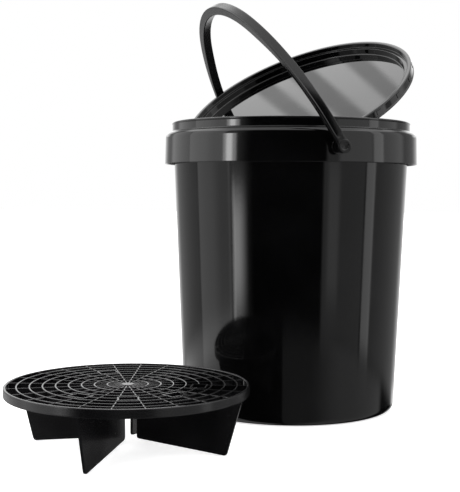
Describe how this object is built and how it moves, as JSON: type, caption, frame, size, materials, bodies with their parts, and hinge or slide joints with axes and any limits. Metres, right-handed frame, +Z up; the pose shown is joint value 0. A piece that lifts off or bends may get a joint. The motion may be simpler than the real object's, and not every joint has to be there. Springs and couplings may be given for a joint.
{
  "type": "wash bucket",
  "caption": "Round tapered plastic wash bucket with a bail handle, a snap lid propped in its mouth and a grit guard on fins standing beside it.",
  "frame": {"origin": "centre of the pail's base, on the floor", "axes": "+Z up the pail's axis; -Y is the front; the grit guard stands at front left, towards -X and -Y"},
  "size_m": [0.47, 0.5574, 0.516],
  "materials": {
    "pail_black": "high gloss",
    "bail_black": "satin gloss",
    "lid_black": "high gloss",
    "gasket_black": "matt",
    "guard_black": "satin gloss"
  },
  "bodies": {
    "pail": {"bucket_body": "pail_black"},
    "bail": {"bail": "bail_black", "bail_pin_front": "bail_black", "bail_pin_back": "bail_black"},
    "lid": {"lid_shell": "lid_black", "lid_gasket": "gasket_black"},
    "guard": {"guard_band": "guard_black", "guard_grate": "guard_black", "guard_fin_a": "guard_black", "guard_fin_b": "guard_black", "guard_fin_c": "guard_black", "guard_fin_d": "guard_black"}
  },
  "joints": [
    {"name": "bail_hinge", "type": "hinge", "parent": "pail", "child": "bail", "pos_m": [0, 0, 0.332], "axis": [0.342, -0.9397, 0], "range_deg": [0, 95]},
    {"name": "lid_draw", "type": "slide", "parent": "pail", "child": "lid", "axis": [0.7157, 0.4515, 0.5328], "range_m": [0, 0.38]},
    {"name": "guard_lift", "type": "slide", "parent": "pail", "child": "guard", "axis": [0, 0, 1], "range_m": [0, 0.4]}
  ]
}
